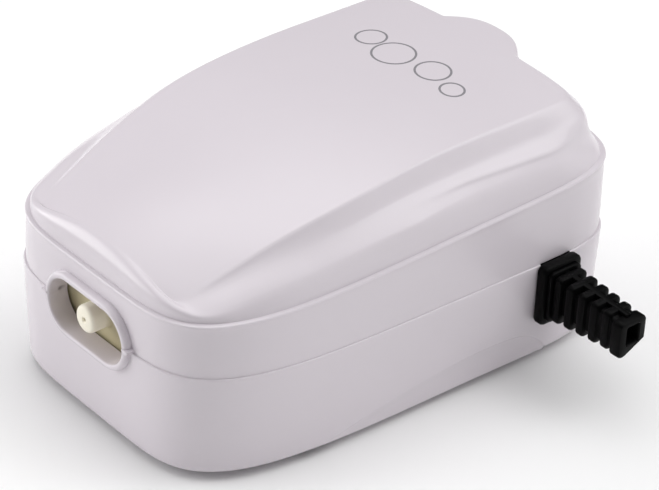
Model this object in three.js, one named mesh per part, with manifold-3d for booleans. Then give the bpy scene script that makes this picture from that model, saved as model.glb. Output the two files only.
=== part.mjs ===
// Aquarium air pump: a small mains-driven diaphragm pump in a two-part plastic housing.
// Millimetres. +Z is up, +Y runs from the outlet nozzle (front) to the rear, +X is the side
// that the cord's strain relief leaves from. The origin is the centre of the flat underside
// of the base; the rubber feet reach below it.

import * as THREE from 'three';
import { mergeVertices } from 'three/addons/utils/BufferGeometryUtils.js';
import Module from 'manifold-3d';

const wasm = await Module();
wasm.setup();

// ---------- driving dimensions ----------

const GAP = 0.3;               // air left between touching pieces
const LENGTH = 100;            // housing, front to rear
const HALF = LENGTH / 2;
const WALL = 2.0;              // housing wall
const FLOOR = 2.2;             // base floor
const PARTING_Z = 20.9;        // joint line between base and cover
const BELT_FRONT_Z = 31.2;     // belt line round the cover, at the front
const BELT_RISE = 5.3;         // how much higher the belt line is at the rear
const BELT_INSET = 0.55;
const BASE_DRAFT = 0.6;        // how far the base draws in towards its floor
const SQUARENESS = 5.6;        // superellipse exponent of the outline
const OUTLINE_STEPS = 52;

// The raised top panel: its side edges are level at the rear and fall to the front, where
// they also draw closer together.
const PANEL = {
  halfWidth: 26, taper: 0.17, taperY: -14, frontY: -46.5, rearY: 41.5, squareness: 20,
};
const CREST = { rearZ: 47.1, drop: 15, levelY: 20, power: 2.4 };
const CROWN = { rear: 1.6, frontExtra: 2.7, fromY: -20, toY: -47 };
const TONGUE = { reach: 4.8, halfWidth: 10 };  // rounded tongue on the panel's rear edge

const PORT = { halfWidth: 11.2, halfHeight: 5.5, rim: 1.6, proud: 1.0, depth: 4.2, z: 21.0 };
const NOZZLE = { x: 0, z: 21.4, r: 2.7, bore: 0.6, tipY: -51.0 };

const ENGINE_Z = 19.5;         // height of the diaphragm, the arm, the magnet and the core
const DIAPHRAGM = { y: -25, rimR: 11, rimX: 6.6, rimT: 1.6, domeX: 12.4, skin: 0.8 };
const CHAMBER = { x0: -12, x1: 4, y0: -44.3, y1: -10.5, z0: 8, z1: 31 };
const PIVOT = { x: 16.5, y: -39.0 };
const ARM = { thick: 3, z0: 13.5, z1: 25.5 };
const CORE = { x: 6, y0: 15.9, legLength: 18, bar: 6, halfWidth: 17, z0: 13.5, z1: 25.5 };
const FLAP = { size: 7.2, halfHeight: 2.8, t: 0.8 };
const FILTER = { x: -20, y: 8, r: 7 };

const HOUSING_SCREWS = [[28.8, -24], [-28.8, -24], [27, 42], [-27, 42]];
const FEET = [[19, -38], [-19, -38], [17, 40], [-17, 40]];
const PILOT_R = 1.35;          // holes that take the screws' threads
const CLAMP_PILOT_R = 1.1;
const RELIEF = { y: 30.2, z: 14.85, wallX: 35.6, endX: 56.0 };

// ---------- solids ----------

// A closed geometry as a manifold solid, with its shared vertices merged.
function solid(geometry) {
  geometry.deleteAttribute('normal');
  geometry.deleteAttribute('uv');
  const merged = mergeVertices(geometry, 1e-4);
  return new wasm.Manifold(new wasm.Mesh({
    numProp: 3,
    vertProperties: Float32Array.from(merged.attributes.position.array),
    triVerts: Uint32Array.from(merged.index.array),
  }));
}

function box(x, y, z) {
  const g = new THREE.BoxGeometry(x[1] - x[0], y[1] - y[0], z[1] - z[0]);
  g.translate((x[0] + x[1]) / 2, (y[0] + y[1]) / 2, (z[0] + z[1]) / 2);
  return solid(g);
}

// A turned solid about the named axis, its profile given as [radius, height] pairs.
function lathe(axis, at, profile, steps = 16) {
  const g = new THREE.LatheGeometry(profile.map(([r, h]) => new THREE.Vector2(r, h)), steps);
  if (axis === 'z') g.rotateX(Math.PI / 2);
  if (axis === 'x') g.rotateZ(-Math.PI / 2);
  g.translate(...at);
  return solid(g);
}

// A round bar along x, y or z, from and to being positions on that axis.
function bar(axis, r, from, to, a, b, steps = 12) {
  const g = new THREE.CylinderGeometry(r, r, to - from, steps);
  if (axis === 'z') g.rotateX(Math.PI / 2).translate(a, b, (from + to) / 2);
  if (axis === 'x') g.rotateZ(-Math.PI / 2).translate((from + to) / 2, a, b);
  if (axis === 'y') g.translate(a, (from + to) / 2, b);
  return solid(g);
}

// A rounded rectangle, for extruding.
function roundedRect(halfW, halfH, r) {
  const s = new THREE.Shape();
  s.moveTo(-halfW + r, -halfH);
  s.lineTo(halfW - r, -halfH);
  s.absarc(halfW - r, -halfH + r, r, -Math.PI / 2, 0);
  s.lineTo(halfW, halfH - r);
  s.absarc(halfW - r, halfH - r, r, 0, Math.PI / 2);
  s.lineTo(-halfW + r, halfH);
  s.absarc(-halfW + r, halfH - r, r, Math.PI / 2, Math.PI);
  s.lineTo(-halfW, -halfH + r);
  s.absarc(-halfW + r, -halfH + r, r, Math.PI, 1.5 * Math.PI);
  return s;
}

// Extrudes a shape drawn in (first, second) coordinates along the named axis:
// along x it is drawn in (y, z), along y in (x, z) and along z in (x, y).
function extrude(shape, axis, from, to, curveSegments = 2) {
  const g = new THREE.ExtrudeGeometry(shape, { depth: to - from, bevelEnabled: false, curveSegments });
  g.translate(0, 0, axis === 'y' ? -to : from);
  if (axis !== 'z') g.rotateX(Math.PI / 2);
  if (axis === 'x') g.rotateZ(Math.PI / 2);
  return solid(g);
}

// A closed solid through rings of points, lowest ring first, each ring counter-clockwise
// from above. Each end is closed by a fan to the centre of its ring.
function loft(rings) {
  const n = rings[0].length;
  const points = rings.flat();
  const centre = (ring) => ring.reduce((s, p) => s.add(p), new THREE.Vector3()).divideScalar(n);
  points.push(centre(rings[0]), centre(rings[rings.length - 1]));
  const index = [];
  for (let r = 0; r < rings.length - 1; r++) {
    for (let i = 0; i < n; i++) {
      const j = (i + 1) % n;
      const [a, b, c, d] = [r * n + i, r * n + j, (r + 1) * n + j, (r + 1) * n + i];
      index.push(a, b, c, a, c, d);
    }
  }
  const last = (rings.length - 1) * n;
  for (let i = 0; i < n; i++) {
    const j = (i + 1) % n;
    index.push(points.length - 2, j, i);
    index.push(points.length - 1, last + i, last + j);
  }
  const g = new THREE.BufferGeometry().setFromPoints(points);
  g.setIndex(index);
  return solid(g);
}

// ---------- housing surfaces ----------

const angles = Array.from({ length: OUTLINE_STEPS }, (_, i) => (i * 2 * Math.PI) / OUTLINE_STEPS);

// Superellipse unit point at an angle.
function unit(angle, power) {
  const c = Math.cos(angle);
  const s = Math.sin(angle);
  const k = (Math.abs(c) ** power + Math.abs(s) ** power) ** (-1 / power);
  return [c * k, s * k];
}

// Half width of the housing at v = y / HALF: narrower at the front, fuller at the rear.
const halfWidth = (v) => 34.6 + 1.46 * v - 0.68 * v ** 2 + 2.85 * v ** 3;

// The housing outline in plan, drawn in by an inset.
function outlinePoint(angle, inset) {
  const [u, v] = unit(angle, SQUARENESS);
  const x = u * halfWidth(v);
  const y = v * HALF;
  return [x * (1 - inset / 35), y * (1 - inset / HALF)];
}

const beltZ = (y) => BELT_FRONT_Z + BELT_RISE * (y / LENGTH + 0.5);

const smoothstep = (low, high, value) => {
  const t = Math.min(1, Math.max(0, (value - low) / (high - low)));
  return t * t * (3 - 2 * t);
};

// Height of the panel's side edges, the panel's half width, and its crowned surface.
const crestZ = (y) => {
  const ahead = Math.max(0, (CREST.levelY - y) / (CREST.levelY + 48));
  return CREST.rearZ - CREST.drop * ahead ** CREST.power;
};
const panelHalfWidth = (y) => PANEL.halfWidth - PANEL.taper * Math.max(0, PANEL.taperY - y);
const topZ = (x, y) => {
  const crown = CROWN.rear + CROWN.frontExtra * smoothstep(CROWN.fromY, CROWN.toY, y);
  return crestZ(y) + crown * (1 - (x / panelHalfWidth(y)) ** 2);
};

// The raised panel's edge in plan, scaled towards its centre.
function panelPoint(angle, inset, scale = 1) {
  const [u, v] = unit(angle, PANEL.squareness);
  const middle = (PANEL.frontY + PANEL.rearY) / 2;
  const reach = v * ((PANEL.rearY - PANEL.frontY) / 2 - inset);
  const x = u * (panelHalfWidth(middle + reach) - inset);
  const lobe = Math.max(0, 1 - Math.abs(x / TONGUE.halfWidth) ** 2.6);
  const tongue = v > 0 ? TONGUE.reach * lobe * v ** 8 : 0;
  return [x * scale, middle + (reach + tongue) * scale];
}

const ring = (place) => angles.map((a) => new THREE.Vector3(...place(a)));

// The cover between the belt line and the panel's edge, as [share of the way in, share of
// the rise]: one rounded band at the front; a shoulder, a flute and a step up to the panel
// on the flanks; a steep wall and a bevel at the rear.
const BAND_PROFILES = {
  front: [[0, 0.38], [0.09, 0.61], [0.27, 0.76], [0.6, 0.91]],
  flank: [[0.04, 0.2], [0.14, 0.43], [0.4, 0.57], [0.74, 0.73]],
  rear: [[0.11, 0.12], [0.35, 0.41], [0.44, 0.62], [0.64, 0.79]],
};
const BAND_POINTS = BAND_PROFILES.front.length;
function bandPoint(angle, i) {
  const fromFront = Math.abs(Math.atan2(Math.cos(angle), -Math.sin(angle))) * (180 / Math.PI);
  const side = smoothstep(42, 52, fromFront);
  const rear = smoothstep(123, 134, fromFront);
  return [0, 1].map((k) => {
    const ahead = BAND_PROFILES.front[i][k] * (1 - side) + BAND_PROFILES.flank[i][k] * side;
    return ahead * (1 - rear) + BAND_PROFILES.rear[i][k] * rear;
  });
}

// The outer skin of the cover, or, with an inset, the hollow inside it.
function coverSkin(bottomZ, inset) {
  const belt = (a) => {
    const [x, y] = outlinePoint(a, BELT_INSET + inset);
    return [x, y, beltZ(y) - inset * 0.6];
  };
  const crest = (a, scale = 1) => {
    const [x, y] = panelPoint(a, inset, scale);
    return [x, y, topZ(x, y) - inset];
  };
  const between = (a, i) => {
    const p = belt(a);
    const q = crest(a);
    const [plan, rise] = bandPoint(a, i);
    const mix = (k, t) => p[k] + (q[k] - p[k]) * t;
    return [mix(0, plan), mix(1, plan), mix(2, rise)];
  };
  return loft([
    ring((a) => [...outlinePoint(a, inset), bottomZ]),
    ring((a) => {
      const [x, y] = outlinePoint(a, inset + BELT_INSET * 0.35);
      return [x, y, (PARTING_Z + beltZ(y)) / 2];
    }),
    ring(belt),
    ...Array.from({ length: BAND_POINTS }, (_, i) => ring((a) => between(a, i))),
    ring((a) => crest(a)),
    ring((a) => crest(a, 0.66)),
    ring((a) => crest(a, 0.33)),
  ]);
}

// The outer skin of the base, or, with an inset, the hollow inside it.
function baseSkin(bottomZ, rimZ, inset) {
  const edge = inset ? 0 : 1.0;
  return loft([
    ring((a) => [...outlinePoint(a, BASE_DRAFT + inset + edge), bottomZ]),
    ring((a) => [...outlinePoint(a, BASE_DRAFT + inset), bottomZ + 1.2]),
    ring((a) => [...outlinePoint(a, inset), rimZ]),
  ]);
}

// The oval port in the front wall and the raised collar round it.
function port(grow, y0, y1) {
  const h = PORT.halfHeight + grow;
  const shape = roundedRect(PORT.halfWidth + grow, h, h - 0.01);
  const g = extrude(shape, 'y', y0, y1, 8);
  return g.translate([0, 0, PORT.z]);
}
const collarY = [-HALF - PORT.proud, -HALF - PORT.proud + PORT.depth];
const collar = port(PORT.rim, ...collarY);
const portHole = port(0, -HALF - 5, -HALF + 6);

const SPACE = [-200, 200];
const above = (z) => box(SPACE, SPACE, [z, 200]);
const below = (z) => box(SPACE, SPACE, [-200, z]);

// Hollow posts for the housing screws: the cover's hang down onto the base's.
const BOSS = { r: 3.2, coverFootZ: 18.3, baseTopZ: 18.0, pilotTopZ: 29 };

function topCover() {
  const skin = coverSkin(PARTING_Z + GAP / 2, 0);
  let cover = skin.subtract(coverSkin(PARTING_Z - 5, WALL));
  const insideBase = baseSkin(0, PARTING_Z + 5, WALL + GAP);
  const bossReach = skin.add(insideBase.intersect(below(PARTING_Z + GAP)));
  for (const [x, y] of HOUSING_SCREWS) {
    cover = cover.add(bar('z', BOSS.r, BOSS.coverFootZ, 45, x, y).intersect(bossReach));
  }
  cover = cover.add(collar.intersect(above(PARTING_Z + GAP / 2)));
  cover = cover.subtract(portHole);
  for (const [x, y] of HOUSING_SCREWS) {
    cover = cover.subtract(bar('z', PILOT_R, BOSS.coverFootZ - 1, BOSS.pilotTopZ, x, y));
  }
  return cover;
}

const SLOT = { halfWidth: 3.8, bottomZ: 9.5 };   // U-shaped cut for the strain relief
const CORE_SCREWS = [CORE.x - 14.2, CORE.x + 14.2].map((x) => [x, CORE.y0 + CORE.legLength + 3]);
const CHAMBER_SCREWS = [[-15.3, -38], [-15.3, -16]];
const BRACKET_SCREW = [23.1, PIVOT.y];

function baseShell() {
  const rimZ = PARTING_Z - GAP / 2;
  let base = baseSkin(0, rimZ, 0).subtract(baseSkin(FLOOR, PARTING_Z + 5, WALL));
  const outside = baseSkin(0, rimZ, 0);
  const posts = [
    ...HOUSING_SCREWS.map((p) => [p, BOSS.r, BOSS.baseTopZ]),
    ...CORE_SCREWS.map((p) => [p, 3.2, 11.9]),
    ...CHAMBER_SCREWS.map((p) => [p, 3.0, CHAMBER.z0 - GAP]),
    [BRACKET_SCREW, 2.6, CHAMBER.z0 - GAP],
  ];
  for (const [[x, y], r, top] of posts) {
    base = base.add(bar('z', r, 0.5, top, x, y).intersect(outside));
  }
  base = base.add(bar('z', FILTER.r + 1.8, 0.5, 5.8, FILTER.x, FILTER.y, 28));
  base = base.add(collar.intersect(below(rimZ)));
  base = base.subtract(portHole);
  for (const [x, y] of HOUSING_SCREWS) {
    base = base.subtract(bar('z', 2.7, -1, 8, x, y).add(bar('z', PILOT_R, -1, 20, x, y)));
  }
  for (const [x, y] of [...CORE_SCREWS, ...CHAMBER_SCREWS, BRACKET_SCREW]) {
    base = base.subtract(bar('z', PILOT_R, 3.0, 20, x, y));
  }
  for (const [x, y] of FEET) {
    base = base.subtract(bar('z', 5.3, -1, 1.2, x, y, 24));
  }
  base = base.subtract(bar('z', FILTER.r + GAP, -1, 5.0, FILTER.x, FILTER.y, 28));
  base = base.subtract(bar('z', FILTER.r - 1.2, 4, 7, FILTER.x, FILTER.y, 28));
  const slotY = [RELIEF.y - SLOT.halfWidth, RELIEF.y + SLOT.halfWidth];
  return base.subtract(box([30, 40], slotY, [SLOT.bottomZ, 30]));
}

// ---------- air side ----------

// Front plate seen through the port, with the hose nozzle on it.
function nozzlePlate() {
  const plate = extrude(roundedRect(13, 9, 2), 'y', -46.4, CHAMBER.y0 - GAP)
    .translate([0, 0, PORT.z]);
  const tipR = 0.9;
  const nozzle = lathe('y', [NOZZLE.x, 0, NOZZLE.z], [
    [0, NOZZLE.tipY], [NOZZLE.r - tipR, NOZZLE.tipY], [NOZZLE.r - 0.3, NOZZLE.tipY + 0.4],
    [NOZZLE.r, NOZZLE.tipY + tipR], [NOZZLE.r, -45.5], [0, -45.5],
  ]);
  const bore = bar('y', NOZZLE.bore, -60, -40, NOZZLE.x, NOZZLE.z);
  return plate.add(nozzle).subtract(bore);
}

const POCKET_Z = [12, 27];
const clampScrewPlaces = [-1, 1].flatMap((a) => [-1, 1].map(
  (b) => [DIAPHRAGM.y + 12.2 * a, ENGINE_Z + 9.2 * b],
));

function valveChamber() {
  const c = CHAMBER;
  let chamber = box([c.x0, c.x1], [c.y0, c.y1], [c.z0, c.z1]);
  for (const [x, y] of CHAMBER_SCREWS) {
    chamber = chamber.add(box([x - 3, c.x0 + 1], [y - 3.2, y + 3.2], [c.z0, c.z0 + 2.5]));
  }
  const outlet = box([-8, c.x1 + 1], [-41.5, -28], POCKET_Z);
  const inlet = box([-8, c.x1 + 1], [-23.5, -13], POCKET_Z);
  const duct = bar('y', 1.35, c.y0 - 1, -40, NOZZLE.x, NOZZLE.z);
  const intake = bar('z', 2, c.z0 - 1, 14, -3, -18);
  chamber = chamber.subtract(outlet).subtract(inlet).subtract(duct).subtract(intake);
  for (const [x, y] of CHAMBER_SCREWS) {
    chamber = chamber.subtract(bar('z', PILOT_R, c.z0 - 1, 12, x, y));
  }
  for (const [y, z] of clampScrewPlaces) {
    chamber = chamber.subtract(bar('x', CLAMP_PILOT_R, -4, c.x1 + 1, y, z, 8));
  }
  return chamber;
}

const PORT_OUT_Y = DIAPHRAGM.y - 6;
const PORT_IN_Y = DIAPHRAGM.y + 5.5;
const PLATE_X = [CHAMBER.x1 + GAP, CHAMBER.x1 + GAP + 2];

function valvePlate() {
  let plate = box(PLATE_X, [-43, -11], [CHAMBER.z0 + 0.4, CHAMBER.z1 - 0.4]);
  for (const y of [PORT_OUT_Y, PORT_IN_Y]) {
    plate = plate.subtract(bar('x', 1.7, 0, 9, y, ENGINE_Z));
  }
  for (const [y, z] of clampScrewPlaces) {
    plate = plate.subtract(bar('x', CLAMP_PILOT_R, 0, 9, y, z, 8));
  }
  return plate;
}

// A flap valve: a thin rubber tongue over a port, held at its root by a clip.
const FLAPS = {
  inlet: { rootY: DIAPHRAGM.y + 0.6, x: [PLATE_X[1] + 0.35, PLATE_X[1] + 0.35 + FLAP.t] },
  outlet: { rootY: DIAPHRAGM.y - 11.2, x: [PLATE_X[0] - 0.35 - FLAP.t, PLATE_X[0] - 0.35] },
};
function flap({ rootY, x }) {
  const z = [ENGINE_Z - FLAP.halfHeight, ENGINE_Z + FLAP.halfHeight];
  const tip = rootY + FLAP.size;
  const shape = new THREE.Shape();
  shape.moveTo(rootY, z[0]);
  shape.lineTo(tip - FLAP.halfHeight, z[0]);
  shape.absarc(tip - FLAP.halfHeight, ENGINE_Z, FLAP.halfHeight, -Math.PI / 2, Math.PI / 2);
  shape.lineTo(rootY, z[1]);
  return extrude(shape, 'x', x[0], x[1], 8);
}
function flapClip({ rootY, x }, side) {
  const depth = side > 0 ? [x[0], x[1] + 0.5] : [x[0] - 0.5, x[1]];
  return box(depth, [rootY - 1.9, rootY - GAP], [ENGINE_Z - 3.2, ENGINE_Z + 3.2]);
}

const DIAPHRAGM_SCREW_R = 1.0;
function diaphragm() {
  const { rimR, rimX, rimT, domeX, skin } = DIAPHRAGM;
  const hole = DIAPHRAGM_SCREW_R + 0.4;
  const profile = [
    [hole, domeX], [6.0, domeX], [6.8, domeX - 0.6], [8.4, rimX + 1.4], [9.2, rimX],
    [rimR, rimX], [rimR, rimX + rimT], [9.8, rimX + rimT], [9.2, rimX + rimT + 0.7],
    [7.7, domeX + skin - 0.7], [6.6, domeX + skin], [hole, domeX + skin], [hole, domeX],
  ];
  return lathe('x', [0, DIAPHRAGM.y, ENGINE_Z], profile, 28);
}

function clampRing() {
  const x = [DIAPHRAGM.rimX + DIAPHRAGM.rimT + GAP, DIAPHRAGM.rimX + DIAPHRAGM.rimT + GAP + 1.8];
  const frame = roundedRect(14.4, 11.3, 2.5);
  let ringPlate = extrude(frame, 'x', ...x).translate([0, DIAPHRAGM.y, ENGINE_Z]);
  ringPlate = ringPlate.subtract(bar('x', 10.1, 0, 20, DIAPHRAGM.y, ENGINE_Z, 32));
  for (const [y, z] of clampScrewPlaces) {
    ringPlate = ringPlate.subtract(bar('x', CLAMP_PILOT_R, 0, 20, y, z, 8));
  }
  return ringPlate;
}

// ---------- drive ----------

const washer = (x0, x1, r, hole) => bar('x', r, x0, x1, DIAPHRAGM.y, ENGINE_Z, 24)
  .subtract(bar('x', hole, x0 - 1, x1 + 1, DIAPHRAGM.y, ENGINE_Z));

// The lever: a hub on the pivot, a bar that jogs across to the core's centre, and the
// magnet's holder at its free end.
const MAGNET_Y = [8.3, 13.3];
function swingArm() {
  const half = ARM.thick / 2;
  const [x0, x1] = [PIVOT.x, CORE.x];
  const bend = [-14, 2];
  const shape = new THREE.Shape();
  shape.moveTo(x0 - half, PIVOT.y);
  shape.lineTo(x0 + half, PIVOT.y);
  shape.lineTo(x0 + half, bend[0] + 0.6);
  shape.lineTo(x1 + half, bend[1] + 0.6);
  shape.lineTo(x1 + half, 6);
  shape.lineTo(x1 - half, 6);
  shape.lineTo(x1 - half, bend[1] - 0.6);
  shape.lineTo(x0 - half, bend[0] - 0.6);
  const z = [ARM.z0, ARM.z1];
  let arm = extrude(shape, 'z', ...z);
  arm = arm.add(bar('z', 3.0, ARM.z0 - 2, ARM.z1 + 2, PIVOT.x, PIVOT.y, 20));
  arm = arm.add(box([x1 - 7.6, x1 + 7.6], [5, MAGNET_Y[0] - GAP], z));
  for (const side of [-1, 1]) {
    const lip = [x1 + side * 6.95 - 0.65, x1 + side * 6.95 + 0.65];
    arm = arm.add(box(lip, [6, MAGNET_Y[1] - 1.3], z));
  }
  arm = arm.subtract(bar('z', 2.2, 5, 35, PIVOT.x, PIVOT.y, 20));
  return arm.subtract(bar('x', 1.35, 10, 25, DIAPHRAGM.y, ENGINE_Z));
}

const PIN_R = 1.1;
const pinHole = bar('z', PIN_R + GAP, 0, 40, PIVOT.x, PIVOT.y);
const armBush = () => bar('z', 1.9, ARM.z0 - 1.8, ARM.z1 + 1.8, PIVOT.x, PIVOT.y, 20)
  .subtract(pinHole);

// U-shaped bracket that holds both ends of the pivot pin.
function armBracket() {
  const y = [PIVOT.y - 2.5, PIVOT.y + 2.5];
  const z = [CHAMBER.z0, CHAMBER.z1];
  let bracket = box([19.9, 21.3], y, z);
  bracket = bracket.add(box([13.2, 25.0], y, [z[0], z[0] + 2]));
  bracket = bracket.add(box([13.2, 21.3], y, [z[1] - 2, z[1]]));
  bracket = bracket.subtract(pinHole);
  return bracket.subtract(bar('z', 1.3, 0, 12, ...BRACKET_SCREW));
}

// Laminated E-shaped core, its legs pointing forward at the magnet.
function eCore() {
  const { x, y0, legLength, bar: back, halfWidth: w, z0, z1 } = CORE;
  let core = box([x - w, x + w], [y0, y0 + legLength + back], [z0, z1]);
  for (const side of [-1, 1]) {
    const window = [x + side * 8 - 3.5, x + side * 8 + 3.5];
    core = core.subtract(box(window, [y0 - 1, y0 + legLength], [0, 50]));
  }
  for (const [sx, sy] of CORE_SCREWS) core = core.subtract(bar('z', 1.5, 0, 50, sx, sy));
  return core;
}

const legHalf = 4.5;
const stackHalf = (CORE.z1 - CORE.z0) / 2;
const around = (grow, y) => extrude(roundedRect(legHalf + grow, stackHalf + grow, 0.4), 'y', ...y)
  .translate([CORE.x, 0, ENGINE_Z]);
const FLANGE_Y = [CORE.y0 + 0.7, CORE.y0 + CORE.legLength - 0.4];

function coilBobbin() {
  const flange = (y) => extrude(roundedRect(11.1, 12.5, 2), 'y', ...y).translate([CORE.x, 0, ENGINE_Z]);
  return around(1.3, FLANGE_Y)
    .add(flange([FLANGE_Y[0], FLANGE_Y[0] + 1.2]))
    .add(flange([FLANGE_Y[1] - 1.2, FLANGE_Y[1]]))
    .subtract(around(GAP, [0, 60]));
}

function coilWinding() {
  const y = [FLANGE_Y[0] + 1.5, FLANGE_Y[1] - 1.5];
  const outside = extrude(roundedRect(10.7, 12, 3.5), 'y', ...y).translate([CORE.x, 0, ENGINE_Z]);
  return outside.subtract(around(1.6, [0, 60]));
}

// ---------- fasteners, feet, filter, strain relief ----------

// A screw along the named axis: a head between two heights and a shaft out to its tip, on
// whichever side of the head that lies.
function screw(axis, a, b, headFrom, headTo, headR, tip, shaftR) {
  const head = bar(axis, headR, headFrom, headTo, a, b, 12);
  const shaft = tip < headFrom
    ? bar(axis, shaftR, tip, headFrom + 0.4, a, b, 8)
    : bar(axis, shaftR, headTo - 0.4, tip, a, b, 8);
  return head.add(shaft);
}

function hexNut() {
  const { y } = DIAPHRAGM;
  return bar('x', 2.6, 18.3, 20.2, y, ENGINE_Z, 6).subtract(bar('x', 1.3, 15, 25, y, ENGINE_Z));
}

const pad = ([x, y]) => bar('z', 3.2, 12.2, 13.2, x, y, 20).subtract(bar('z', 1.6, 10, 15, x, y, 12));

function foot([x, y]) {
  return lathe('z', [x, y, 0], [[0, -1.6], [4.2, -1.6], [5, -0.9], [5, 0.9], [0, 0.9]], 24);
}

function filterCover() {
  let disc = bar('z', FILTER.r, 0.1, 1.4, FILTER.x, FILTER.y, 28);
  for (const dy of [-3.6, -1.2, 1.2, 3.6]) {
    const reach = Math.sqrt((FILTER.r - 1.8) ** 2 - dy ** 2);
    const y = [FILTER.y + dy - 0.55, FILTER.y + dy + 0.55];
    disc = disc.subtract(box([FILTER.x - reach, FILTER.x + reach], y, [-1, 3]));
  }
  return disc;
}

// Rubber strain relief: a flange either side of the wall, a ribbed sleeve that tapers
// outwards, a spine along its top, and a thicker end with one lower corner cut away.
const RIBS = { count: 5, firstX: 39.6, pitch: 3.0, thick: 1.8 };
function strainRelief() {
  const { y, z, wallX, endX } = RELIEF;
  const block = (x0, x1, halfY, halfZ, r) => extrude(roundedRect(halfY, halfZ, r), 'x', x0, x1)
    .translate([0, y, z]);
  const neckZ = [SLOT.bottomZ + GAP, PARTING_Z - 0.4];
  let relief = block(wallX, wallX + 2.1, 4.8, 6.3, 1.2);
  relief = relief.add(block(wallX + 2, wallX + 3, 3.9, 5.4, 1.0));
  relief = relief.add(box([31.5, wallX + 0.5], [y - 3.5, y + 3.5], neckZ));
  relief = relief.add(block(29.6, 31.7, 4.8, 5.8, 1.2));
  relief = relief.add(block(wallX + 1, endX - 1, 2.6, 3.25, 0.8));
  for (let i = 0; i < RIBS.count; i++) {
    const taper = i / (RIBS.count - 1);
    const x = RIBS.firstX + RIBS.pitch * i;
    const halfY = 3.45 - 0.45 * taper;
    const halfZ = 4.9 - 0.9 * taper;
    relief = relief.add(block(x - RIBS.thick / 2, x + RIBS.thick / 2, halfY, halfZ, 0.9));
    relief = relief.add(box([x - 1.6, x + 1.6], [y - 0.6, y + 0.6], [z, z + halfZ - 0.05]));
  }
  relief = relief.add(block(endX - 3, endX, 3.3, 3.75, 1.0));
  const corner = new THREE.Shape();
  corner.moveTo(y - 2.6, z - 3.9);
  corner.lineTo(y + 5, z - 3.9);
  corner.lineTo(y + 5, z - 0.4);
  relief = relief.subtract(extrude(corner, 'x', endX - 3.1, endX + 1));
  const cordHole = extrude(roundedRect(1.5, 1.9, 0.4), 'x', 25, 60, 1).translate([0, y, z + 0.3]);
  return relief.subtract(cordHole);
}

// ---------- materials ----------

const material = (color, roughness, metalness = 0) =>
  new THREE.MeshStandardMaterial({ color, roughness, metalness });
const white = () => material(0xe4dfe6, 0.25);
const cream = () => material(0xcfc6a2, 0.5);
const blackRubber = () => material(0x1c1c1e, 0.75);
const greyRubber = () => material(0x4a4a4c, 0.8);
const steel = () => material(0xb4b6b8, 0.35, 1);
const coreSteel = () => material(0x6d6f73, 0.45, 1);
const brass = () => material(0xc8a04a, 0.35, 1);
const ferrite = () => material(0x3a3a3d, 0.6);
const nylon = () => material(0xe6e2d6, 0.5);
const copper = () => material(0xa4502a, 0.4, 0.6);
const felt = () => material(0xd8d8d0, 0.95);

// ---------- assembly ----------

const pump = new THREE.Group();

function add(name, body, finish) {
  const { vertProperties, triVerts } = body.getMesh();
  const g = new THREE.BufferGeometry();
  g.setAttribute('position', new THREE.BufferAttribute(Float32Array.from(vertProperties), 3));
  g.setIndex(Array.from(triVerts));
  g.computeVertexNormals();
  const mesh = new THREE.Mesh(g, finish);
  mesh.name = name;
  pump.add(mesh);
}

add('base_shell', baseShell(), white());
add('top_cover', topCover(), white());
add('strain_relief', strainRelief(), blackRubber());
add('nozzle_plate', nozzlePlate(), cream());
add('valve_chamber', valveChamber(), cream());
add('valve_plate', valvePlate(), nylon());
add('inlet_flap', flap(FLAPS.inlet), blackRubber());
add('outlet_flap', flap(FLAPS.outlet), blackRubber());
add('inlet_flap_clip', flapClip(FLAPS.inlet, 1), nylon());
add('outlet_flap_clip', flapClip(FLAPS.outlet, -1), nylon());
add('diaphragm', diaphragm(), blackRubber());
add('clamp_ring', clampRing(), nylon());
add('diaphragm_plate_inner', washer(11.0, 12.1, 4.5, 1.35), steel());
add('diaphragm_plate_outer', washer(13.5, 14.6, 4.5, 1.35), steel());
add('diaphragm_screw', screw('x', DIAPHRAGM.y, ENGINE_Z, 9.6, 10.7, 2, 21, DIAPHRAGM_SCREW_R), steel());
add('diaphragm_nut', hexNut(), steel());
add('swing_arm', swingArm(), nylon());
add('arm_bush', armBush(), brass());
add('pivot_pin', bar('z', PIN_R, CHAMBER.z0 + 0.2, CHAMBER.z1 + 0.6, PIVOT.x, PIVOT.y), steel());
add('arm_bracket', armBracket(), steel());
add('bracket_screw', screw('z', ...BRACKET_SCREW, 10.3, 11.7, 1.7, 4, 1.0), steel());
add('magnet', box([CORE.x - 6, CORE.x + 6], MAGNET_Y, [ARM.z0, ARM.z1]), ferrite());
add('e_core', eCore(), coreSteel());
add('coil_bobbin', coilBobbin(), nylon());
add('coil_winding', coilWinding(), copper());
for (const [i, dx] of [-6, 6].entries()) {
  const pinX = [CORE.x + dx - 0.5, CORE.x + dx + 0.5];
  const pin = box(pinX, [FLANGE_Y[1] + GAP, FLANGE_Y[1] + 5.3], [29, 30]);
  add(`coil_terminal_${i + 1}`, pin, brass());
}
for (const [i, place] of CORE_SCREWS.entries()) {
  add(`core_pad_${i + 1}`, pad(place), greyRubber());
  add(`core_screw_${i + 1}`, screw('z', ...place, CORE.z1 + GAP, CORE.z1 + 2.1, 2.6, 5, 1.1), steel());
}
for (const [i, place] of CHAMBER_SCREWS.entries()) {
  const head = CHAMBER.z0 + 2.5 + GAP;
  add(`chamber_screw_${i + 1}`, screw('z', ...place, head, head + 1.6, 2.4, 4, 1.0), steel());
}
for (const [i, place] of clampScrewPlaces.entries()) {
  add(`clamp_screw_${i + 1}`, screw('x', ...place, 10.6, 12.0, 1.8, -3, 0.8), steel());
}
for (const [i, place] of HOUSING_SCREWS.entries()) {
  add(`housing_screw_${i + 1}`, screw('z', ...place, 5.9, 7.7, 2.4, 28, 1.05), steel());
}
for (const [i, place] of FEET.entries()) add(`foot_${i + 1}`, foot(place), greyRubber());
add('intake_felt', bar('z', FILTER.r - 0.1, 1.7, 4.7, FILTER.x, FILTER.y, 28), felt());
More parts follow.
